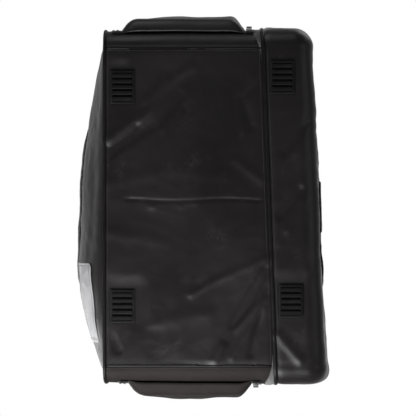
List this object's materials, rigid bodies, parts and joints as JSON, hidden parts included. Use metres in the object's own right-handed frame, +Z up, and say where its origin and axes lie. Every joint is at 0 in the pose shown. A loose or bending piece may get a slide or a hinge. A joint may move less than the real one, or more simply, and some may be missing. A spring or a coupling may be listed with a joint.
{
  "type": "hockey equipment bag",
  "caption": "Carry bag of coated fabric with a zipped lid, zipped end pockets for skates, webbing handles, a stiffened base and ribbed rubber feet.",
  "frame": {"origin": "on the floor under the centre of the bag's overall box", "axes": "+X along the bag to its right end, -Y out of the front with the name panel, +Z up from the feet to the lid"},
  "size_m": [0.886, 0.587, 0.425],
  "materials": {
    "coated_fabric": "semi-gloss",
    "piping": "satin",
    "foot_rubber": "satin",
    "board": "matte",
    "tape": "matte",
    "liner": "matte",
    "zip_tape": "matte",
    "zip_coil": "satin",
    "zip_metal": "dark nickel",
    "webbing": "woven",
    "grip": "semi-gloss",
    "name_panel": "satin"
  },
  "bodies": {
    "bag": {"front_panel": "coated_fabric", "back_panel": "coated_fabric", "base_panel": "coated_fabric", "top_panel": "coated_fabric", "end_panel_left": "coated_fabric", "end_panel_right": "coated_fabric", "piping_front": "piping", "piping_back": "piping", "foot_front_left": "foot_rubber", "foot_front_right": "foot_rubber", "foot_back_left": "foot_rubber", "foot_back_right": "foot_rubber", "base_board_left": "board", "board_hinge_tape": "tape", "lid_zip_tape": "zip_tape", "lid_zip_chain": "zip_coil", "handle_patches_front": "webbing", "handle_patches_back": "webbing", "name_panel": "name_panel", "pocket_skirt_left": "coated_fabric", "pocket_skirt_right": "coated_fabric", "pocket_zip_tape_left": "zip_tape", "pocket_zip_tape_right": "zip_tape", "pocket_zip_chain_left": "zip_coil", "pocket_zip_chain_right": "zip_coil", "zip_end_tabs_left": "zip_tape", "zip_end_tabs_right": "zip_tape", "pocket_liner_left": "liner", "pocket_liner_right": "liner"},
    "lid": {"lid_panel": "coated_fabric"},
    "board_right": {"base_board_right": "board"},
    "front_handle": {"handle_front": "webbing"},
    "back_handle": {"handle_back": "webbing", "handle_grip": "grip"},
    "flap_left": {"pocket_flap_left": "coated_fabric"},
    "lid_slider_left": {"lid_slider_left": "zip_metal"},
    "lid_pull_left": {"lid_pull_left": "zip_metal"},
    "pocket_slider_left": {"pocket_slider_left": "zip_metal"},
    "pocket_pull_left": {"pocket_pull_left": "zip_metal"},
    "flap_right": {"pocket_flap_right": "coated_fabric"},
    "lid_slider_right": {"lid_slider_right": "zip_metal"},
    "lid_pull_right": {"lid_pull_right": "zip_metal"},
    "pocket_slider_right": {"pocket_slider_right": "zip_metal"},
    "pocket_pull_right": {"pocket_pull_right": "zip_metal"}
  },
  "joints": [
    {"name": "lid_hinge", "type": "hinge", "parent": "bag", "child": "lid", "pos_m": [0, 0.12431, 0.38], "axis": [-1, 0, 0], "range_deg": [0, 120]},
    {"name": "board_fold", "type": "hinge", "parent": "bag", "child": "board_right", "pos_m": [-0.02, 0, 0.0136], "axis": [0, -1, 0], "range_deg": [0, 90], "deforming": ["board_hinge_tape"]},
    {"name": "front_handle_swing", "type": "hinge", "parent": "bag", "child": "front_handle", "pos_m": [0, -0.25817, 0.33025], "axis": [-0.9998, -0.022, 0], "range_deg": [0, 150]},
    {"name": "back_handle_swing", "type": "hinge", "parent": "bag", "child": "back_handle", "pos_m": [0, 0.28456, 0.33025], "axis": [0.9993, -0.0384, 0], "range_deg": [0, 150]},
    {"name": "pocket_flap_left_hinge", "type": "hinge", "parent": "bag", "child": "flap_left", "pos_m": [-0.44305, -0.02297, 0.05225], "axis": [0, -1, 0], "range_deg": [0, 95]},
    {"name": "lid_slider_left_slide", "type": "slide", "parent": "bag", "child": "lid_slider_left", "axis": [-1, 0, 0], "range_m": [0, 0.25]},
    {"name": "lid_pull_left_swing", "type": "hinge", "parent": "lid_slider_left", "child": "lid_pull_left", "pos_m": [-0.014, -0.18844, 0.3895], "axis": [0, 1, 0], "range_deg": [0, 150]},
    {"name": "pocket_slider_left_slide", "type": "slide", "parent": "bag", "child": "pocket_slider_left", "axis": [0, 0, 1], "range_m": [0, 0.165]},
    {"name": "pocket_pull_left_swing", "type": "hinge", "parent": "pocket_slider_left", "child": "pocket_pull_left", "pos_m": [-0.4245, 0.13203, 0.075], "axis": [0, 1, 0], "range_deg": [0, 150]},
    {"name": "pocket_flap_right_hinge", "type": "hinge", "parent": "bag", "child": "flap_right", "pos_m": [0.44305, -0.03891, 0.05225], "axis": [0, 1, 0], "range_deg": [0, 95]},
    {"name": "lid_slider_right_slide", "type": "slide", "parent": "bag", "child": "lid_slider_right", "axis": [1, 0, 0], "range_m": [0, 0.25]},
    {"name": "lid_pull_right_swing", "type": "hinge", "parent": "lid_slider_right", "child": "lid_pull_right", "pos_m": [0.014, -0.18844, 0.3895], "axis": [0, -1, 0], "range_deg": [0, 150]},
    {"name": "pocket_slider_right_slide", "type": "slide", "parent": "bag", "child": "pocket_slider_right", "axis": [0, 0, 1], "range_m": [0, 0.165]},
    {"name": "pocket_pull_right_swing", "type": "hinge", "parent": "pocket_slider_right", "child": "pocket_pull_right", "pos_m": [0.4245, 0.11609, 0.075], "axis": [0, -1, 0], "range_deg": [0, 150]}
  ]
}
